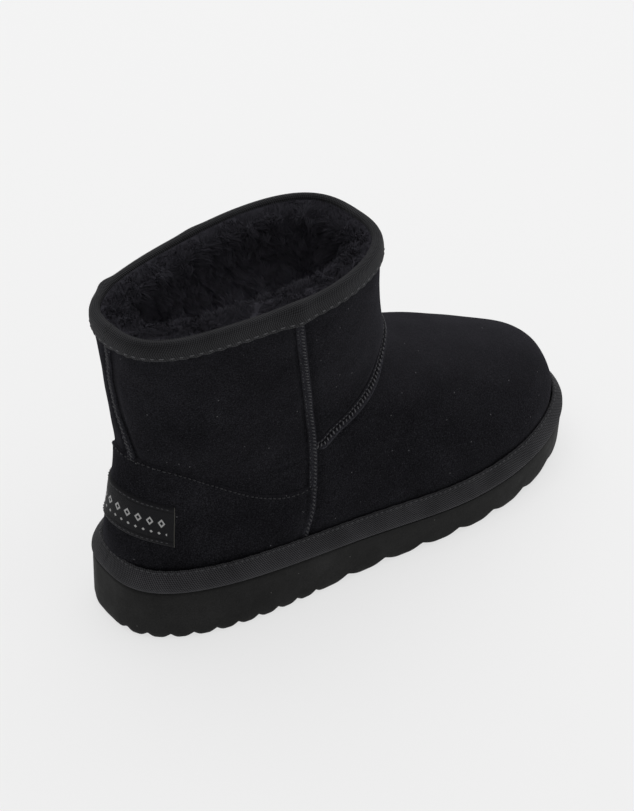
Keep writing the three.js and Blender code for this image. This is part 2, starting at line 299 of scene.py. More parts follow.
def new_piece(name, points, faces, material, uv=None, sharp=None):
    """A mesh object on the root body. uv holds one pair of millimetres for each vertex."""
    mesh = bpy.data.meshes.new(name)
    mesh.from_pydata(place(points).tolist(), [], faces)
    if uv is not None:
        layer = mesh.uv_layers.new(name="cloth")
        corner = np.zeros(len(mesh.loops), np.int32)
        mesh.loops.foreach_get("vertex_index", corner)
        layer.data.foreach_set("uv", np.asarray(uv, np.float32)[corner].ravel())
    mesh.shade_smooth()
    if sharp is not None:
        mesh.set_sharp_from_angle(angle=math.radians(sharp))
    mesh.materials.append(material)
    obj = show(bpy.data.objects.new(name, mesh))
    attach(obj, "root")
    return obj


def wrap_faces(rows, columns, close_rows=True):
    """Quads of a grid that closes on itself across its columns, and along its rows if asked."""
    i = np.arange(rows if close_rows else rows - 1)[:, None]
    j = np.arange(columns)[None]
    a, b = i * columns + j, i * columns + (j + 1) % columns
    up = (i + 1) % rows
    c, d = up * columns + (j + 1) % columns, up * columns + j
    return np.stack([a, b, c, d], -1).reshape(-1, 4).tolist()


def tube_faces(rows, columns):
    """Faces of a tube with flat ends."""
    faces = wrap_faces(rows, columns, close_rows=False)
    faces.append(tuple(range(columns - 1, -1, -1)))
    faces.append(tuple(range((rows - 1) * columns, rows * columns)))
    return faces


def cap_faces(start, columns, up):
    """Faces across a loop of points that is the same on both sides, from vertex start on."""
    faces = []
    for j in range(columns // 2):
        a, b = start + j, start + j + 1
        c, d = start + columns - j - 1, start + (columns - j) % columns
        faces.append(tuple(dict.fromkeys((a, b, c, d) if up else (a, d, c, b))))
    return faces


def ring_piece(name, rings, material, uv=None):
    """A closed ring: each row of rings is one loop round the boot, and the rows go round its section."""
    rings = np.asarray(rings)
    rows, columns = rings.shape[:2]
    flat_uv = None if uv is None else np.asarray(uv).reshape(-1, 2)
    return new_piece(name, rings.reshape(-1, 3), wrap_faces(rows, columns), material, flat_uv)


def patch_piece(name, top, bottom, material, uv=None):
    """A closed patch between two grids of points of the same shape."""
    rows, columns = top.shape[:2]
    last, end = rows - 1, columns - 1
    size = rows * columns
    faces = []

    def at(side, i, j):
        return side * size + i * columns + j

    for i in range(rows - 1):
        for j in range(columns - 1):
            faces.append((at(0, i, j), at(0, i, j + 1), at(0, i + 1, j + 1), at(0, i + 1, j)))
            faces.append((at(1, i, j), at(1, i + 1, j), at(1, i + 1, j + 1), at(1, i, j + 1)))
    for j in range(columns - 1):
        faces.append((at(0, 0, j), at(1, 0, j), at(1, 0, j + 1), at(0, 0, j + 1)))
        faces.append((at(0, last, j), at(0, last, j + 1), at(1, last, j + 1), at(1, last, j)))
    for i in range(rows - 1):
        faces.append((at(0, i, 0), at(0, i + 1, 0), at(1, i + 1, 0), at(1, i, 0)))
        faces.append((at(0, i, end), at(1, i, end), at(1, i + 1, end), at(0, i + 1, end)))
    points = np.concatenate([top.reshape(-1, 3), bottom.reshape(-1, 3)])
    flat_uv = None if uv is None else np.concatenate([uv.reshape(-1, 2)] * 2)
    return new_piece(name, points, faces, material, flat_uv)


def lengths_along(points):
    return np.concatenate([[0], np.cumsum(np.linalg.norm(np.diff(points, axis=0), axis=1))])


def points_at(at, along, points):
    return np.stack([np.interp(at, along, points[:, k]) for k in range(3)], -1)


def trace(v, angle, out, pitch=None, count=None):
    """Even places along a line on the suede: points, tangents and normals."""
    points = surface(v, angle, out)
    normals = skin_normal(v, angle)
    along = lengths_along(points)
    count = count or max(2, int(round(along[-1] / pitch)) + 1)
    at = np.linspace(0, along[-1], count)
    even = points_at(at, along, points)
    return even, unit(np.gradient(even, axis=0)), unit(points_at(at, along, normals))


# ---- Stitches and welts

WELT_SINK = 0.6  # how deep a welt's underside lies in the suede

def capsule():
    """A unit stitch along x, from -1 to 1, one across."""
    sides, rings = 6, 5
    t = np.linspace(-1, 1, rings)
    radius = np.sqrt(np.maximum(0.0, 1 - t ** 4)) * 0.9 + 0.1
    turn = np.arange(sides) / sides * TURN
    points = np.stack([
        np.repeat(t, sides),
        np.outer(radius, np.cos(turn)).ravel(),
        np.outer(radius, np.sin(turn)).ravel(),
    ], -1)
    return points, tube_faces(rings, sides)


def stitches(name, rows, material):
    """One mesh of stitches. Each row: places, directions, normals, half length and radius."""
    rng = np.random.default_rng(len(name))
    base, base_faces = capsule()
    points, faces = [], []
    start = 0
    for places, directions, normals, half, radius in rows:
        side = unit(np.cross(normals, directions))
        for p, d, s, n in zip(places, directions, side, normals):
            slip, drift, reach = rng.normal(size=3) * (0.14, 0.07, 0.09)
            sag = -0.77 * radius * base[:, 0:1] ** 2
            long = (base[:, 0:1] * half * (1 + reach) + slip) * d
            points.append(p + long + (base[:, 1:2] * radius + drift) * s + (base[:, 2:3] * radius + sag) * n)
            faces.extend([tuple(start + k for k in f) for f in base_faces])
            start += len(base)
    return new_piece(name, np.concatenate(points), faces, material)


def welt(name, line, width, height, material, dip=0.0):
    """A raised suede strip along a traced line, closed at both ends, with an optional dip in its middle."""
    places, tangents, normals = line
    side = np.cross(normals, tangents)
    s = np.linspace(-1, 1, 13)
    crown = np.sqrt(np.maximum(0, 1 - s ** 2)) * height - dip * bell(s / 0.3)
    across = np.concatenate([s * width / 2, s[::-1][1:-1] * width / 2 * 0.9])
    up = np.concatenate([crown - 0.1, np.full(len(s) - 2, -WELT_SINK)])
    rings = places[:, None] + side[:, None] * across[None, :, None] + normals[:, None] * up[None, :, None]
    rows, columns = rings.shape[:2]
    uv = np.stack(np.broadcast_arrays(lengths_along(places)[:, None], across[None]), -1)
    faces = tube_faces(rows, columns)
    return new_piece(name, rings.reshape(-1, 3), faces, material, uv.reshape(-1, 2))


# ---- Materials

LABEL_REACH = 0.55
LABEL_LOW = 57.5
LABEL_HIGH = 80.0
LABEL_DROP = 6.5
LOZENGE_PITCH = 5.8
LOZENGE_LEVEL = 12.2
DOT_LEVEL = 6.6
BORDER_LEVEL = 3.2


def material(name, base, rough, gloss):
    """A Principled material and its nodes: material, node tree, shader."""
    made = bpy.data.materials.new(name)
    made.use_nodes = True
    tree = made.node_tree
    shader = tree.nodes["Principled BSDF"]
    shader.inputs["Base Color"].default_value = (*base, 1)
    shader.inputs["Roughness"].default_value = rough
    shader.inputs["Specular IOR Level"].default_value = gloss
    made.diffuse_color = (*base, 1)
    return made, tree, shader


def node(tree, kind, values=None, **settings):
    made = tree.nodes.new(kind)
    for key, value in settings.items():
        setattr(made, key, value)
    for key, value in (values or {}).items():
        made.inputs[key].default_value = value
    return made


def link(tree, source, output, target, socket):
    tree.links.new(source.outputs[output], target.inputs[socket])


def noise(tree, scale, detail, rough):
    """A noise texture in the boot's own metres."""
    made = node(tree, "ShaderNodeTexNoise", {"Scale": scale, "Detail": detail, "Roughness": rough})
    link(tree, node(tree, "ShaderNodeTexCoord"), "Object", made, "Vector")
    return made


def ramp(tree, source, output, stops):
    """A colour ramp: stops are (place, grey or colour)."""
    made = node(tree, "ShaderNodeValToRGB")
    elements = made.color_ramp.elements
    while len(elements) < len(stops):
        elements.new(0.5)
    for element, (at, value) in zip(elements, stops):
        element.position = at
        colour = (value,) * 3 if isinstance(value, (int, float)) else value
        element.color = (*colour, 1)
    link(tree, source, output, made, "Fac")
    return made


def maths(tree, operation, a, b=0.0, clamp=False):
    """A Math node from sockets or numbers; gives its output socket."""
    made = node(tree, "ShaderNodeMath", operation=operation, use_clamp=clamp)
    for k, value in enumerate((a, b)):
        if isinstance(value, (int, float)):
            made.inputs[k].default_value = value
        else:
            tree.links.new(value, made.inputs[k])
    return made.outputs[0]


def mix_colour(tree, factor, a, b, blend="MIX"):
    made = node(tree, "ShaderNodeMix", data_type="RGBA", blend_type=blend)
    for socket, value in ((made.inputs[0], factor), (made.inputs[6], a), (made.inputs[7], b)):
        if isinstance(value, (int, float)):
            socket.default_value = value
        elif isinstance(value, tuple):
            socket.default_value = (*value, 1)
        else:
            tree.links.new(value, socket)
    return made.outputs[2]


def shaded(tree, colour, source, stops, factor=1.0):
    """A colour multiplied by a grey ramp over a noise."""
    grey = ramp(tree, source, "Fac", stops).outputs[0]
    return mix_colour(tree, factor, colour, grey, "MULTIPLY")


def set_sheen(shader, weight, rough, tint):
    shader.inputs["Sheen Weight"].default_value = weight
    shader.inputs["Sheen Roughness"].default_value = rough
    shader.inputs["Sheen Tint"].default_value = (*tint, 1)


def bump(tree, shader, heights):
    """Bump nodes in a chain: heights are (socket, strength, distance in metres)."""
    previous = None
    for socket, strength, distance in heights:
        made = node(tree, "ShaderNodeBump", {"Strength": strength, "Distance": distance})
        tree.links.new(socket, made.inputs["Height"])
        if previous is not None:
            link(tree, previous, "Normal", made, "Normal")
        previous = made
    link(tree, previous, "Normal", shader, "Normal")


def specks(tree, scale, share):
    """1 on sparse small dots, such as lint, and 0 elsewhere."""
    coords = node(tree, "ShaderNodeTexCoord")
    cells = node(tree, "ShaderNodeTexVoronoi", {"Scale": scale, "Randomness": 1.0})
    link(tree, coords, "Object", cells, "Vector")
    near = maths(tree, "LESS_THAN", cells.outputs["Distance"], 0.07)
    split = node(tree, "ShaderNodeSeparateColor")
    link(tree, cells, "Color", split, "Color")
    chosen = maths(tree, "LESS_THAN", split.outputs[0], share)
    return maths(tree, "MULTIPLY", near, chosen)


def suede_material(name, tone):
    base = tuple(c * tone for c in (0.0082, 0.0082, 0.0096))
    made, tree, shader = material(name, base, 0.95, 0.0)
    set_sheen(shader, 0.09, 0.45, (0.5, 0.49, 0.56))
    patches = noise(tree, 45, 4, 0.6)
    strokes = noise(tree, 420, 3, 0.6)
    grain = noise(tree, 1600, 2, 0.7)
    colour = shaded(tree, base, patches, ((0.3, 0.75), (0.5, 1.0), (0.72, 1.3)))
    colour = shaded(tree, colour, grain, ((0.28, 0.2), (0.5, 1.0), (0.75, 2.7)))
    # painted top light: suede that faces up is mixed toward a lighter grey, as if lit from above
    colour = mix_colour(tree, painted_top_light(tree), colour, (0.0255, 0.0247, 0.0290))
    colour = mix_colour(tree, specks(tree, 210, 0.28), colour, (0.09, 0.09, 0.095))
    colour = mix_colour(tree, specks(tree, 480, 0.40), colour, (0.065, 0.065, 0.068))
    tree.links.new(colour, shader.inputs["Base Color"])
    bump(tree, shader, (
        (strokes.outputs["Fac"], 0.35, 0.0006),
        (grain.outputs["Fac"], 0.6, 0.00035),
    ))
    return made


def painted_top_light(tree):
    """Painted light on upward faces: how far the colour goes to a lighter grey, strong where the suede faces
    up, nothing on upright walls.
    """
    facing = node(tree, "ShaderNodeNewGeometry")
    split = node(tree, "ShaderNodeSeparateXYZ")
    link(tree, facing, "Normal", split, 0)
    up = maths(tree, "SUBTRACT", split.outputs[2], 0.25)
    up = maths(tree, "MULTIPLY", up, 0.75, clamp=True)
    cloud = ramp(tree, noise(tree, 30, 4, 0.6), "Fac", ((0.3, 0.6), (0.7, 1.0)))
    return maths(tree, "MULTIPLY", up, cloud.outputs[0])


def fleece_material(name, tone):
    """Pile whose base colour is lighter down in the shaft than near the rim, by height in metres: painted
    light in the deep hollow.
    """
    base = tuple(c * tone for c in (0.0105, 0.0102, 0.0122))
    made, tree, shader = material(name, base, 0.85, 0.0)
    set_sheen(shader, 0.1, 0.4, (0.5, 0.48, 0.58))
    colour = shaded(tree, base, noise(tree, 140, 4, 0.6), ((0.3, 0.88), (0.55, 1.0), (0.8, 1.2)))
    height = node(tree, "ShaderNodeSeparateXYZ")
    link(tree, node(tree, "ShaderNodeTexCoord"), "Object", height, 0)
    # painted light: the colour grows lighter with depth below the rim, to light the hollow
    painted_light_and_shade = ramp(tree, height, "Z", ((0.125, 1.0), (0.172, 0.17)))
    colour = mix_colour(tree, 1.0, colour, painted_light_and_shade.outputs[0], "MULTIPLY")
    tree.links.new(colour, shader.inputs["Base Color"])
    fluff = noise(tree, 900, 3, 0.7)
    bump(tree, shader, ((fluff.outputs["Fac"], 0.4, 0.0008),))
    return made


def cloth_axes(tree):
    """The cloth UV in mm: sockets for along and across."""
    split = node(tree, "ShaderNodeSeparateXYZ")
    link(tree, node(tree, "ShaderNodeUVMap", uv_map="cloth"), "UV", split, 0)
    return split.outputs[0], split.outputs[1]


def weave_heights(tree, pitch, turn_every, steep):
    """Twill that turns back on itself, a herringbone: height across the yarns, from the cloth UV in mm."""
    along, across = cloth_axes(tree)
    fold = maths(tree, "PINGPONG", across, turn_every)
    slant = maths(tree, "ADD", along, maths(tree, "MULTIPLY", fold, steep))
    rib = maths(tree, "SINE", maths(tree, "MULTIPLY", slant, TURN / pitch))
    yarn = maths(tree, "SINE", maths(tree, "MULTIPLY", across, TURN / (pitch * 0.8)))
    return maths(tree, "ADD", maths(tree, "MULTIPLY", rib, 0.5), maths(tree, "MULTIPLY", yarn, 0.28))


def tape_material(name, base, pitch, turn_every, steep):
    made, tree, shader = material(name, base, 0.75, 0.06)
    set_sheen(shader, 0.08, 0.5, (0.6, 0.6, 0.63))
    heights = weave_heights(tree, pitch, turn_every, steep)
    # painted shade and light of the weave: the colour is darker in the grooves and lighter on the ribs, from
    # the bump's heights
    painted_light_and_shade = maths(tree, "ADD", maths(tree, "MULTIPLY", heights, 1.2), 1.0)
    fuzz = noise(tree, 3000, 2, 0.7)
    grey = node(tree, "ShaderNodeCombineColor")
    for k in range(3):
        tree.links.new(painted_light_and_shade, grey.inputs[k])
    colour = mix_colour(tree, 1.0, base, grey.outputs[0], "MULTIPLY")
    colour = shaded(tree, colour, noise(tree, 60, 3, 0.5), ((0.3, 0.8), (0.7, 1.2)))
    colour = shaded(tree, colour, fuzz, ((0.3, 0.6), (0.75, 1.5)), 0.7)
    colour = mix_colour(tree, specks(tree, 160, 0.05), colour, (0.13, 0.13, 0.13))
    tree.links.new(colour, shader.inputs["Base Color"])
    bump(tree, shader, ((heights, 0.7, 0.0003), (fuzz.outputs["Fac"], 0.4, 0.0002)))
    return made


def foam_material():
    base = (0.0105, 0.0105, 0.0104)
    made, tree, shader = material("foam", base, 0.62, 0.09)
    cloud = noise(tree, 38, 4, 0.6)
    cells = noise(tree, 1500, 3, 0.6)
    colour = shaded(tree, base, cloud, ((0.3, 0.72), (0.7, 1.3)))
    colour = shaded(tree, colour, cells, ((0.3, 0.55), (0.7, 1.5)), 0.8)
    scuffs = noise(tree, 120, 5, 0.75)
    worn = ramp(tree, scuffs, "Fac", ((0.62, 0.0), (0.75, 0.35)))
    colour = mix_colour(tree, worn.outputs[0], colour, (0.04, 0.0395, 0.038))
    colour = mix_colour(tree, specks(tree, 260, 0.12), colour, (0.10, 0.10, 0.095))
    tree.links.new(colour, shader.inputs["Base Color"])
    rough = ramp(tree, scuffs, "Fac", ((0.3, 0.55), (0.8, 0.75)))
    tree.links.new(rough.outputs[0], shader.inputs["Roughness"])
    bump(tree, shader, (
        (cloud.outputs["Fac"], 0.15, 0.001),
        (cells.outputs["Fac"], 0.25, 0.0002),
    ))
    return made


def thread_material(name, base):
    made, tree, shader = material(name, base, 0.55, 0.1)
    shader.inputs["Sheen Weight"].default_value = 0.1
    ply = noise(tree, 1800, 2, 0.6)
    colour = shaded(tree, base, ply, ((0.3, 0.6), (0.7, 1.4)))
    tree.links.new(colour, shader.inputs["Base Color"])
    bump(tree, shader, ((ply.outputs["Fac"], 0.5, 0.0002),))
    return made


def label_material(half):
    """Woven tab: satin ground, a row of small lozenges and a row of dots below it, no lettering."""
    base = (0.008, 0.008, 0.0095)
    made, tree, shader = material("woven_label", base, 0.6, 0.08)
    shader.inputs["Sheen Weight"].default_value = 0.05
    along, across = cloth_axes(tree)
    from_middle = maths(tree, "ABSOLUTE", along)

    def repeated(pitch):
        cell = maths(tree, "SUBTRACT", maths(tree, "FRACT", maths(tree, "DIVIDE", along, pitch)), 0.5)
        return maths(tree, "MULTIPLY", maths(tree, "ABSOLUTE", cell), pitch)

    def height_from(level):
        return maths(tree, "ABSOLUTE", maths(tree, "SUBTRACT", across, level))

    def border(level):
        return maths(tree, "LESS_THAN", height_from(level), 0.35)

    flat_height = maths(tree, "MULTIPLY", height_from(LOZENGE_LEVEL), 0.75)
    rhomb = maths(tree, "ADD", repeated(LOZENGE_PITCH), flat_height)
    lozenge = maths(tree, "LESS_THAN", rhomb, 1.85)
    hole = maths(tree, "GREATER_THAN", rhomb, 0.9)
    dot = maths(tree, "ADD", repeated(LOZENGE_PITCH * 2 / 3), height_from(DOT_LEVEL))
    dots = maths(tree, "LESS_THAN", dot, 0.8)
    inside = maths(tree, "LESS_THAN", from_middle, LOZENGE_PITCH * 5)
    borders = maths(tree, "ADD", border(BORDER_LEVEL), border(LABEL_HIGH - LABEL_LOW - BORDER_LEVEL))
    marks = maths(tree, "MAXIMUM", maths(tree, "MULTIPLY", lozenge, hole), dots)
    marks = maths(tree, "MULTIPLY", marks, inside)
    yarn = maths(tree, "SINE", maths(tree, "MULTIPLY", across, TURN / 0.35))
    weft = maths(tree, "SINE", maths(tree, "MULTIPLY", along, TURN / 0.5))
    heights = maths(tree, "ADD", maths(tree, "MULTIPLY", yarn, 0.5), maths(tree, "MULTIPLY", weft, 0.25))
    colour = shaded(tree, base, noise(tree, 2200, 2, 0.7), ((0.3, 0.7), (0.7, 1.3)))
    colour = mix_colour(tree, borders, colour, (0.003, 0.003, 0.004))
    ends = maths(tree, "GREATER_THAN", from_middle, half - 0.5)
    colour = mix_colour(tree, ends, colour, (0.07, 0.068, 0.06))
    colour = mix_colour(tree, maths(tree, "MULTIPLY", marks, 0.9), colour, (0.42, 0.42, 0.42))
    tree.links.new(colour, shader.inputs["Base Color"])
    bump(tree, shader, ((heights, 0.5, 0.0002), (marks, 0.5, 0.0002)))
    return made


SUEDE = suede_material("suede", 1.0)
# the welts' suede is painted 1.9 times lighter, as painted highlight on the raised seam strips
SUEDE_WELT_HIGHLIT = suede_material("suede_welt_painted_highlight", 1.9)
# the throat cord's suede is painted 2.8 times lighter, as painted highlight on the raised cord
SUEDE_CORD_HIGHLIT = suede_material("suede_cord_painted_highlight", 2.8)
FLEECE = fleece_material("fleece", 18.5)
FLEECE_TIPS = fleece_material("fleece_tips", 18.0)
BINDING = tape_material("binding_tape", (0.0185, 0.0185, 0.0200), 1.15, 5.5, 0.45)
RAND = tape_material("rand_tape", (0.0310, 0.0308, 0.0332), 1.15, 60.0, 0.8)
FOAM = foam_material()
THREAD = thread_material("thread", (0.046, 0.046, 0.050))
THREAD_DARK = thread_material("thread_dark", (0.024, 0.024, 0.027))
THREAD_PALE = thread_material("thread_pale", (0.075, 0.075, 0.08))

# ---- Upper: suede shell and pile lining

AROUND = 420
SUEDE_THICK = 1.6
SUEDE_TOP = 0.992


def ring_angles(count):
    return np.arange(count) / count * TURN


def make_upper():
    angle = ring_angles(AROUND)[None]
    outside = np.linspace(0, SUEDE_TOP, 180)[:, None]
    inside = np.linspace(SUEDE_TOP, 0, 50)[:, None]
    outer = surface(outside, angle)
    inner = skin(inside, angle) - skin_normal(inside, angle) * SUEDE_THICK
    piece = ring_piece("upper_suede", np.concatenate([outer, inner]), SUEDE)
    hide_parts("upper")


# Pile: height share and how far its surface stands in from the skin, from under the tape, over a soft
# roll just inside the collar, and down to the footbed.
PILE = ((0.984, 3.6), (0.9865, 5.0), (0.986, 7.0), (0.988, 9.5), (0.990, 12.0), (0.990, 14.0), (0.986, 15.6),
        (0.978, 16.8), (0.966, 17.4), (0.950, 17.4), (0.930, 16.8), (0.905, 15.8), (0.87, 14.6),
        (0.82, 13.2), (0.76, 12.0), (0.69, 11.2), (0.60, 10.6), (0.50, 10.2), (0.40, 10.0),
        (0.28, 9.6), (0.15, 8.8), (0.03, 8.0))
PILE_ACROSS = 96
PILE_AROUND = 340
TUFT_PITCH = 6.5
PILE_RISE = 2.0  # the pile stands up to this much higher on one side of the rim, about PILE_RISE_AT
PILE_RISE_AT = math.radians(233)


def pile_profile(count):
    """Height shares and depths at even places along the pile's section."""
    v, depth = (np.array(c) for c in zip(*PILE))
    along = np.concatenate([[0], np.cumsum(np.hypot(np.diff(v) * 180, np.diff(depth)))])
    at = along[-1] * np.linspace(0, 1, count) ** 1.35
    return np.interp(at, along, v), np.interp(at, along, depth)


def pile_base():
    """The pile's plain surface and its normals, pointing into the boot's hollow."""
    v, depth = pile_profile(PILE_ACROSS)
    angle = ring_angles(PILE_AROUND)[None]
    v = v[:, None]
    base = skin(v, angle) - skin_normal(v, angle) * depth[:, None, None]
    near_rim = 1 - ease((np.arange(PILE_ACROSS) - 22) / 26)[:, None]
    base[..., 2] += PILE_RISE * near_rim * ease((np.cos(angle - PILE_RISE_AT) + 0.3) / 0.8)
    down = np.gradient(base, axis=0)
    around = np.roll(base, -1, 1) - np.roll(base, 1, 1)
    return base, unit(np.cross(around, down))


def tuft_centres(base):
    """Middles of the tufts, chosen at random, and a size from 0 to 1 for each."""
    rng = np.random.default_rng(11)
    down = np.linalg.norm(np.gradient(base, axis=0), axis=-1)
    around = np.linalg.norm(np.roll(base, -1, 1) - base, axis=-1)
    area = (down * around).ravel()
    count = int(area.sum() / TUFT_PITCH ** 2)
    chosen = rng.choice(area.size, count, replace=False, p=area / area.sum())
    return base.reshape(-1, 3)[chosen], rng.uniform(0, 1, count)


PILE_BASE, PILE_NORMAL = pile_base()
TUFT_AT, TUFT_SIZE = tuft_centres(PILE_BASE)
TUFT_TREE = KDTree(len(TUFT_AT))
for number, spot in enumerate(TUFT_AT):
    TUFT_TREE.insert(spot, number)
TUFT_TREE.balance()


def nearest_tufts(points):
    """For each point, the nearest tuft's index, and the distances to the nearest two."""
    found = [TUFT_TREE.find_n(p, 2) for p in points.reshape(-1, 3)]
    index = np.array([f[0][1] for f in found])
    near = np.array([(f[0][2], f[1][2]) for f in found])
    return index, near


def make_lining():
    index, near = nearest_tufts(PILE_BASE)
    shape = PILE_BASE.shape[:2]
    crown = np.clip((near[:, 1] - near[:, 0]) / TUFT_PITCH * 1.4, 0, 1).reshape(shape)
    size = TUFT_SIZE[index].reshape(shape)
    free = ease(np.arange(PILE_ACROSS) / 8)[:, None]
    bulge = (0.9 * np.sqrt(crown) * mix(0.4, 1.0, size) + 0.5 * swell(PILE_BASE, 16, 21)) * free
    pile = PILE_BASE + PILE_NORMAL * (bulge - 2.1 * free)[..., None]
    hidden = np.linspace(0.03, 0.984, 50)[:, None]
    angle = ring_angles(PILE_AROUND)[None]
    back = skin(hidden, angle) - skin_normal(hidden, angle) * (SUEDE_THICK + 0.1)
    return ring_piece("pile_lining", np.concatenate([pile, back]), FLEECE)


def strands(name, count, first, last, seed, length, width):
    """Curved, tapered fibres over rows first to last of the pile, drawn together in tufts."""
    rng = np.random.default_rng(seed)
    span = PILE_BASE[first:last]
    down = np.linalg.norm(np.gradient(span, axis=0), axis=-1)
    around = np.linalg.norm(np.roll(span, -1, 1) - span, axis=-1)
    area = (down * around).ravel()
    chosen = rng.choice(area.size, count, p=area / area.sum())
    i, j = chosen // PILE_AROUND + first, chosen % PILE_AROUND
    i2, j2 = np.minimum(i + 1, PILE_ACROSS - 1), (j + 1) % PILE_AROUND
    s, t = rng.uniform(size=(2, count, 1))
    low = mix(PILE_BASE[i, j], PILE_BASE[i, j2], t)
    root = mix(low, mix(PILE_BASE[i2, j], PILE_BASE[i2, j2], t), s)
    normal = PILE_NORMAL[i, j]
    root = root - normal * 1.7
    index, _ = nearest_tufts(root)
    pull = (TUFT_AT[index] - root) * mix(0.2, 0.6, rng.uniform(size=(count, 1)))
    pull = pull - normal * np.sum(pull * normal, -1, keepdims=True)
    short = mix(0.7, 1.0, ease(i / 9))[:, None]
    size = TUFT_SIZE[index][:, None]
    reach = length * mix(0.6, 1.1, rng.uniform(size=(count, 1))) * mix(0.75, 1.1, size) * short
    turn = TURN * np.modf(TUFT_SIZE[index] * 7.3)[0]
    comb = np.stack([np.cos(turn), np.sin(turn), -0.5 + 0 * turn], -1)
    lay = unit(normal + 0.4 * comb + 0.3 * rng.normal(size=(count, 3)))
    curl = unit(comb + 0.3 * rng.normal(size=(count, 3)))
    middle = root + lay * reach * 0.55 + pull * 0.4 * short
    tip = root + lay * reach * 0.9 + pull * short + curl * reach * 0.32
    across = unit(np.cross(lay, normal + 0.4 * rng.normal(size=(count, 3)))) * width
    points = np.stack([root - across, root + across, middle - across * 0.8, middle + across * 0.8, tip], 1)
    base = np.arange(count)[:, None] * 5
    faces = [tuple(f) for f in base + [[0, 1, 3, 2]]] + [tuple(f) for f in base + [[2, 3, 4]]]
    return new_piece(name, points.reshape(-1, 3), faces, FLEECE_TIPS)


FOOTBED_EDGE = ((0.4, 8.4), (4.0, 8.2), (6.4, 8.9), (7.2, 10.5))  # height over the sole, and inset
FOOTBED_TOP, FOOTBED_INSET = FOOTBED_EDGE[-1]


def make_footbed():
    foot = dict(zip(COLUMNS, SECTIONS[0]))
    angle = ring_angles(200)
    rings = []
    for height, inset in FOOTBED_EDGE:
        x, y, _ = plan(foot, angle, inset)
        rings.append(np.stack([x, y, sole_top(x) + height], -1))
    for step in np.linspace(0.93, 0.0, 26):
        x, y, _ = plan(foot, angle, FOOTBED_INSET)
        middle = mix(foot["backY"], foot["frontY"], 0.25)
        ring = np.stack([x, middle + (y - middle) * step, sole_top(x) + FOOTBED_TOP], -1)
        ring[:, 2] += 0.8 * swell(ring, 8, 31) * (step > 0.02)
        rings.append(ring)
    rings = np.array(rings)
    rows, columns = rings.shape[:2]
    faces = wrap_faces(rows, columns, close_rows=False) + cap_faces(0, columns, up=False)
    piece = new_piece("footbed_fleece", rings.reshape(-1, 3), faces, FLEECE)
    work = bmesh.new()
    work.from_mesh(piece.data)
    bmesh.ops.remove_doubles(work, verts=work.verts, dist=1e-6)
    work.to_mesh(piece.data)
    work.free()
    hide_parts("insole")


make_upper()
make_lining()
make_footbed()
strands("pile_collar", 60000, 0, 46, 41, 4.6, 0.18)
strands("pile_shaft", 52000, 45, 84, 42, 5.6, 0.24)

# ---- Collar binding

COLLAR_RADIUS = 45
HUMP_WIDTH = 4.0
TAPE_JOINT = math.radians(-44)
COLLAR_STITCH_PITCH = 4.5
COLLAR_STITCH_DOWN = 7.7


def collar_humps(angle):
    """Where the binding passes over the side seams, the back seam and its own joint."""
    top = np.array(1.0)
    lines = ((side_seam(top), 1.6), (side_seam(top, -1), 0.5), (back_seam(top), 0.5), (TAPE_JOINT, 1.3))
    return sum(high * bell(signed_angle(angle, line) * COLLAR_RADIUS / HUMP_WIDTH) for line, high in lines)


def rim_lift(angle):
    """Slow rise and fall of the soft collar edge, straight up."""
    wave = 0.5 * np.sin(3 * angle + 0.6) + 0.35 * np.sin(5 * angle + 2.0)
    return np.array([0, 0, 0.5]) * wave[..., None]


def collar_at(angle, out, down):
    """Points near the collar: out from the skin, down from its edge along it."""
    rise = np.linalg.norm(skin(1.0, angle) - skin(0.98, angle), axis=-1) / 0.02
    v = 1 - np.maximum(down, 0) / rise
    points = skin(v, angle) + skin_normal(v, angle) * out[..., None]
    edge = skin(np.ones_like(angle), angle)
    flat = edge + skin_normal(np.ones_like(angle), angle) * out[..., None]
    top_z = edge[..., 2] + LEAN * (flat[..., 1] - edge[..., 1])
    flat[..., 2] = top_z - down
    return np.where((down > 0)[..., None], points, flat)


def tape_uv(points, profile):
    """Millimetres along a tape's first loop and across its section, for the weave."""
    across = lengths_along(profile)
    return np.stack(np.broadcast_arrays(lengths_along(points[0])[None], across[:, None]), -1)


def binding_profile():
    """Out and down of the tape's section: outer face up, over the edge, inner face, and back."""
    outer = [(0.9, 10.0), (1.3, 9.5), (1.35, 7.2), (1.2, 4.6), (0.8, 2.2), (0.1, 0.5)]
    roll = [(-0.9, -0.5), (-2.2, -0.9), (-3.4, -0.75), (-4.2, -0.1), (-4.6, 1.0), (-4.5, 2.4)]
    back = [(-4.0, 1.6), (-3.4, 0.5), (-2.2, 0.2), (-1.0, 0.5), (-0.2, 1.4), (0.2, 2.8)]
    back += [(0.45, 6.0), (0.5, 9.6)]
    return np.array(outer + roll + back)


def make_binding():
    angle = ring_angles(900)[None]
    profile = binding_profile()
    out, down = profile[:, 0:1], profile[:, 1:2]
    hump = collar_humps(angle)
    low = ease((down - 8.0) / 1.5)
    outer_face = ease((out + 5) / 3)
    turns = round(300 / COLLAR_STITCH_PITCH)
    pucker = 0.22 * np.sin(angle * turns) + 0.15 * np.sin(angle * 61)
    out = out + hump * outer_face + 0.12 * pucker * low
    down = down - hump * 0.6 * ease((2 - down) / 2) + pucker * low
    shape = np.broadcast_shapes(out.shape, down.shape)
    points = collar_at(*(np.broadcast_to(a, shape) for a in (angle, out, down)))
    points = points + rim_lift(angle)
    piece = ring_piece("collar_tape", points, BINDING, tape_uv(points, profile))
    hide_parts("collar_binding")


make_binding()

# ---- Rand

RAND_STITCH_INSET = 3.7
RAND_STITCH_HEIGHT = 9.65  # over the sole's top


def outline_at(angle, inset, height):
    x, y, _ = plan(OUTLINE, angle, inset)
    return np.stack([x, y, sole_top(x) + GAP + height], -1)


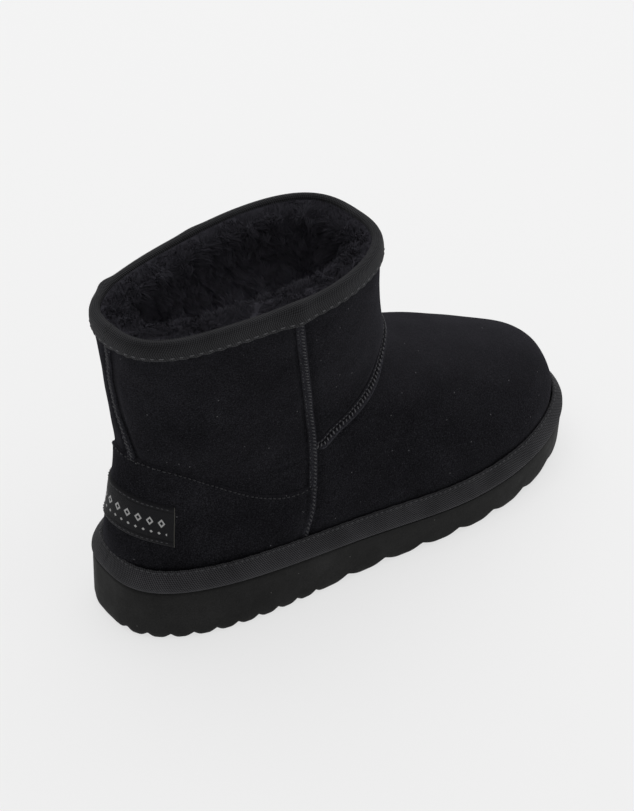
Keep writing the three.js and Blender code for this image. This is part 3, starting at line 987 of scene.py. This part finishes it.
def rand_profile():
    """Inset and height of the strip's section, outer face from the sole up, then down its back."""
    outer = [(0.35, 0.0), (-0.25, 0.5), (-0.6, 1.6), (-0.5, 2.9), (0.0, 4.2), (0.8, 5.7)]
    outer += [(1.75, 7.1), (2.8, 8.4)]
    lip = [(3.6, 9.4), (4.15, 10.1), (4.7, 10.35), (5.15, 10.1)]
    back = [(5.3, 8.6), (5.2, 6.0), (5.2, 3.0), (5.0, 0.3), (3.0, 0.0)]
    return np.array(outer + lip + back)


def make_rand():
    angle = ring_angles(900)[None]
    profile = rand_profile()
    inset, height = profile[:, 0:1], profile[:, 1:2]
    fray = 0.10 * np.sin(angle * 211) + 0.12 * np.sin(angle * 83)
    height = height + fray * ease((height - 8) / 2)
    shape = np.broadcast_shapes(inset.shape, height.shape, angle.shape)
    points = outline_at(*(np.broadcast_to(a, shape) for a in (angle, inset, height)))
    piece = ring_piece("rand_tape", points, RAND, tape_uv(points, profile))
    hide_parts("rand")


make_rand()

# ---- Sole

RIPPLES = (
    {"from": 0.8, "to": 99.8, "pitch": 11.0, "depth": 2.2},
    {"from": 99.8, "to": 262.0, "pitch": 22.0, "depth": 2.8},
)
HEEL_TURN = 25.5  # behind this place the ripples follow the sole's edge round the heel
HEEL_NOTCH = 31.05  # groove from which they are counted
HEEL_PITCH = 11.4


def groove(phase):
    """Scallops: 1 in a groove, 0 on the crests. Phase counts grooves from the middle of one."""
    away = np.abs(phase - np.round(phase))
    return 1 - np.sin(np.pi * np.minimum(away / 0.76, 0.5))


def ripple_depth(x, along):
    """Height of the ripples above the ground. Round the heel they follow the sole's edge."""
    depth = np.zeros_like(x)
    for zone in RIPPLES:
        inside = (x >= zone["from"]) & (x < zone["to"])
        phase = (x - zone["from"]) / zone["pitch"] - 0.75
        depth = np.where(inside, zone["depth"] * groove(phase), depth)
    half = len(x) // 2
    notch = np.interp(HEEL_NOTCH, x[:half], along[:half])
    round_heel = RIPPLES[0]["depth"] * groove((along - notch) / HEEL_PITCH)
    return np.where(x < HEEL_TURN, round_heel, depth)


def edge_length(x, y):
    """Length along the sole's edge from the middle of the heel, the same on both sides."""
    half = len(x) // 2
    step = np.hypot(np.diff(x[: half + 1]), np.diff(y[: half + 1]))
    one_side = np.concatenate([[0], np.cumsum(step)])
    return np.concatenate([one_side, one_side[-2:0:-1]])


def sole_wall():
    """Height share and inset of the platform's side, from the ground up."""
    lower = [(0.0, 2.2), (0.015, 1.4), (0.04, 0.9), (0.08, 0.6), (0.13, 0.45), (0.18, 0.4), (0.25, 0.35)]
    upper = [(0.4, 0.25), (0.6, 0.15), (0.8, 0.05), (0.93, 0.0), (0.98, 0.15), (1.0, 0.7)]
    return lower + upper


def make_sole():
    half = 420
    t = np.arange(half + 1) / half
    angle = np.arccos(1 - 2 * mix(t, (1 - np.cos(np.pi * t)) / 2, 0.5))
    angle = np.concatenate([angle, TURN - angle[-2:0:-1]])
    rings = []
    edge_x, edge_y, _ = plan(OUTLINE, angle)
    along = edge_length(edge_x, edge_y)
    for share, inset in sole_wall():
        x, y, _ = plan(OUTLINE, angle, inset)
        fade = 1 - ease(share / 0.26)
        ground = toe_lift(x) + ripple_depth(x, along) * fade
        rings.append(np.stack([x, y, mix(ground, sole_top(x), share)], -1))
    rings = np.array(rings)
    rows, columns = rings.shape[:2]
    faces = wrap_faces(rows, columns, close_rows=False)
    faces += cap_faces(0, columns, up=False)
    faces += cap_faces((rows - 1) * columns, columns, up=True)
    piece = new_piece("platform_sole", rings.reshape(-1, 3), faces, FOAM, sharp=42)
    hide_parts("sole")


make_sole()

# ---- Heel counter and label

COUNTER_ENDS = (0.05, 0.29)  # height shares of its ends, under the side seams
COUNTER_CREST = 0.14
COUNTER_FALL = 1.05
COUNTER_SHAPE = 1.68
COUNTER_PEAK = 100.3
COUNTER_SIDE = 65.6
COUNTER_FOOT = 7.0
COUNTER_MARGIN = 1.5


def share_at_height(angle, height):
    low, high = np.zeros_like(angle), np.ones_like(angle)
    for _ in range(30):
        middle = (low + high) / 2
        under = skin(middle, angle)[..., 2] < height
        low, high = np.where(under, middle, low), np.where(under, high, middle)
    return low


def counter_top(angle):
    away = np.minimum(1, np.abs(angle - COUNTER_CREST) / COUNTER_FALL)
    return mix(COUNTER_SIDE, COUNTER_PEAK, (1 + np.cos(np.pi * away ** COUNTER_SHAPE)) / 2)


def edge_round(shape, cells):
    """1 inside a patch, falling to 0 over the outermost cells, for a rolled edge."""
    i = np.minimum(np.arange(shape[0]), np.arange(shape[0])[::-1])[:, None] / cells
    j = np.minimum(np.arange(shape[1]), np.arange(shape[1])[::-1])[None] / cells
    k = np.clip(np.minimum(i, j), 0, 1)
    return np.sqrt(1 - (1 - k) ** 2)


def make_counter():
    t = np.linspace(0, 1, 50)[:, None]
    angle = np.linspace(-1, 1, 190)[None] * side_seam(mix(*COUNTER_ENDS, t))
    low = share_at_height(angle, sole_top(skin(0 * angle, angle)[..., 0]) + COUNTER_FOOT)
    high = share_at_height(angle, counter_top(angle))
    v = mix(low, high, t)
    top = surface(v, angle, 0.15 + 1.05 * edge_round(v.shape, 2))
    bottom = surface(v, angle, np.full(v.shape, -0.4))
    piece = patch_piece("counter_suede", top, bottom, SUEDE_COUNTER)
    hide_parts("heel_counter")


SUEDE_COUNTER = suede_material("suede_counter", 1.05)
make_counter()

def label_level(angle, height):
    """The tab's ends hang lower than its middle."""
    return height - LABEL_DROP * (angle / LABEL_REACH) ** 2


def make_label():
    angle = np.linspace(-LABEL_REACH, LABEL_REACH, 100)[None]
    low = share_at_height(angle, label_level(angle, LABEL_LOW))
    high = share_at_height(angle, label_level(angle, LABEL_HIGH))
    t = np.linspace(0, 1, 25)[:, None]
    v = mix(low, high, t)
    a = np.broadcast_to(angle, v.shape)
    lift = 0.25 * np.abs(angle / LABEL_REACH) ** 6 + 0 * v
    top = surface(v, a, 1.35 + 0.75 * edge_round(v.shape, 1.5) + lift)
    bottom = surface(v, a, 1.0 + lift)
    middle = top[12]
    along = lengths_along(middle) - lengths_along(middle)[-1] / 2
    uv = np.stack(np.broadcast_arrays(along[None], t * (LABEL_HIGH - LABEL_LOW)), -1)
    piece = patch_piece("heel_tab", top, bottom, label_material(along[-1]), uv)
    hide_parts("heel_label")


make_label()

# ---- Seams and stitch rows


def seam_line(kind, side, offset, out, **spacing):
    """A line beside a seam, offset in mm, traced on the suede. Spacing is a pitch or a count."""
    if kind == "side":
        v = np.linspace(0.055, 0.985, 300)
        angle = side_seam(v, side)
    elif kind == "back":
        v = np.linspace(0.475, 0.985, 300)
        angle = back_seam(v)
    else:
        angle = np.radians(np.linspace(81.5, 278.5, 400))
        v = throat_seam(angle)
    if kind == "throat":
        rise = np.linalg.norm(skin(v, angle) - skin(v - 0.01, angle), axis=-1) / 0.01
        v = v + offset / rise
    else:
        around = mm_around(v, angle)
        angle = angle + offset / around
    return trace(v, angle, out, **spacing)


def bead_row(kind, side, offset, pitch, half, radius, out):
    places, tangents, normals = seam_line(kind, side, offset, out, pitch=pitch)
    return places, tangents, normals, half, radius


def rung_row(kind, side, offset, pitch, half, radius, out, slant):
    """Stitches that cross the seam, slanted along it by a share of their reach."""
    places, tangents, normals = seam_line(kind, side, offset, out, pitch=pitch)
    across = unit(np.cross(normals, tangents) + slant * tangents)
    return places, across, normals, half, radius


def make_seams():
    for name, side in (("lateral", 1), ("medial", -1)):
        line = seam_line("side", side, 0.0, 0.0, count=200)
        welt(f"side_welt_{name}", line, 4.8, 1.1, SUEDE_WELT_HIGHLIT, dip=0.2)
        rows = [bead_row("side", side, -1.7, 2.9, 0.9, 0.32, 0.7)]
        rows += [rung_row("side", side, 0.5, 2.3, 1.3, 0.34, 0.95, 1.1)]
        stitches(f"side_stitches_{name}", rows, THREAD)
    line = seam_line("back", 1, 0.0, 0.0, count=160)
    welt("back_welt", line, 4.6, 1.1, SUEDE_WELT_HIGHLIT, dip=0.2)
    rows = [bead_row("back", 1, -1.7, 2.9, 0.9, 0.32, 0.7)]
    rows += [rung_row("back", 1, 0.4, 2.3, 1.3, 0.34, 0.95, 1.1)]
    stitches("back_stitches", rows, THREAD)
    line = seam_line("throat", 1, -1.4, 0.0, count=320)
    welt("throat_welt", line, 3.0, 1.8, SUEDE_CORD_HIGHLIT)
    line = seam_line("throat", 1, 2.0, 0.0, count=320)
    welt("throat_edge", line, 2.0, 0.7, SUEDE_WELT_HIGHLIT)
    rows = [rung_row("throat", 1, 0.4, 2.1, 1.5, 0.34, 1.0, 0.3)]
    rows += [bead_row("throat", 1, 2.4, 2.1, 0.8, 0.22, 0.75)]
    stitches("throat_stitches", rows, THREAD_PALE)


def make_stitch_rows():
    angle = np.linspace(0, TURN, 1200)
    out = 1.3 + collar_humps(angle)
    collar = collar_at(angle, out, np.full(angle.shape, COLLAR_STITCH_DOWN)) + rim_lift(angle)
    row = ring_row(collar, skin_normal(0.97, angle), COLLAR_STITCH_PITCH, 1.4, 0.36)
    stitches("collar_stitches", [row], THREAD_PALE)
    rand = outline_at(angle, RAND_STITCH_INSET, RAND_STITCH_HEIGHT)
    outward = unit(skin_normal(0.05, angle) * [1, 1, 0] + [0, 0, 0.75])
    stitches("rand_stitches", [ring_row(rand, outward, 2.9, 1.05, 0.42)], THREAD)
    reach = float(side_seam(COUNTER_ENDS[1]))
    angle = np.linspace(-reach, reach, 300)
    v = share_at_height(angle, counter_top(angle) - COUNTER_MARGIN)
    places, tangents, normals = trace(v, angle, 1.3, pitch=2.6)
    stitches("counter_stitches", [(places, tangents, normals, 0.9, 0.32)], THREAD_DARK)
    angle = np.linspace(-LABEL_REACH + 0.05, LABEL_REACH - 0.05, 200)
    rows = []
    for level in (LABEL_LOW + 1.8, LABEL_HIGH - 1.8):
        v = share_at_height(angle, label_level(angle, level))
        places, tangents, normals = trace(v, angle, 2.2, pitch=2.4)
        rows.append((places, tangents, normals, 0.85, 0.28))
    stitches("label_stitches", rows, THREAD)


def ring_row(points, normals, pitch, half, radius):
    """Even stitches round a closed line."""
    along = lengths_along(points)
    count = int(along[-1] / pitch)
    at = np.arange(count) * along[-1] / count
    even = points_at(at, along, points)
    tangents = unit(np.roll(even, -1, 0) - np.roll(even, 1, 0))
    return even, tangents, unit(points_at(at, along, normals)), half, radius


make_seams()
make_stitch_rows()

# ---- Floor, light and camera


FLOOR_GLOW = 0.665  # the sweep is lit from below as well, so that the boot stands on an even pale ground


def make_floor():
    mesh = bpy.data.meshes.new("floor")
    size = 6.0
    corners = [(-size, -size, 0), (size, -size, 0), (size, size, 0), (-size, size, 0)]
    mesh.from_pydata(corners, [], [(0, 1, 2, 3)])
    made, _, shader = material("floor", (0.25, 0.25, 0.25), 0.95, 0.0)
    shader.inputs["Emission Color"].default_value = (1, 1, 1, 1)
    shader.inputs["Emission Strength"].default_value = FLOOR_GLOW
    mesh.materials.append(made)
    floor = show(bpy.data.objects.new("floor", mesh))


def area_light(name, spot, aim, size, power):
    data = bpy.data.lights.new(name, "AREA")
    data.shape = "RECTANGLE"
    data.size, data.size_y = size
    data.energy = power
    lamp = show(bpy.data.objects.new(name, data))
    lamp.location = spot
    lamp.rotation_euler = (Vector(aim) - Vector(spot)).to_track_quat("-Z", "Y").to_euler()


def make_lights():
    """A pale dome, as bright as the floor at the horizon, and one large soft light overhead."""
    world = bpy.data.worlds.new("studio")
    world.use_nodes = True
    tree = world.node_tree
    split = node(tree, "ShaderNodeSeparateXYZ")
    link(tree, node(tree, "ShaderNodeTexCoord"), "Generated", split, 0)
    dome = ramp(tree, split, "Z", ((0.0, 0.80), (0.06, 0.80), (0.35, 0.44)))
    link(tree, dome, "Color", tree.nodes["Background"], "Color")
    bpy.context.scene.world = world
    area_light("overhead", (0.35, 0.45, 1.6), (0.02, 0, 0.05), (2.4, 2.4), 22)


# Camera: heading from the toe direction, height above the horizon, roll, distance and aim.
CAMERA_HEADING = 53.1
CAMERA_HEIGHT = 40.4
CAMERA_ROLL = 2.2
CAMERA_DISTANCE = 1.696
CAMERA_AIM = (117.8, -11.9, 87.8)
CAMERA_LENS = 156.6


def make_camera():
    heading, height, roll = (math.radians(a) for a in (CAMERA_HEADING, CAMERA_HEIGHT, CAMERA_ROLL))
    level = math.cos(height)
    forward = Vector((math.cos(heading) * level, math.sin(heading) * level, -math.sin(height)))
    right = forward.cross(Vector((0, 0, 1))).normalized()
    up = right.cross(forward)
    x = right * math.cos(roll) + up * math.sin(roll)
    y = up * math.cos(roll) - right * math.sin(roll)
    data = bpy.data.cameras.new("camera")
    data.lens = CAMERA_LENS
    data.clip_start, data.clip_end = 0.05, 50
    camera = show(bpy.data.objects.new("camera", data))
    aim = Vector(place(CAMERA_AIM))
    pose = Matrix((x, y, -forward)).transposed().to_4x4()
    pose.translation = aim - forward * CAMERA_DISTANCE
    camera.matrix_world = pose
    bpy.context.scene.camera = camera


make_floor()
make_lights()
make_camera()
bpy.context.scene.view_settings.view_transform = "Standard"
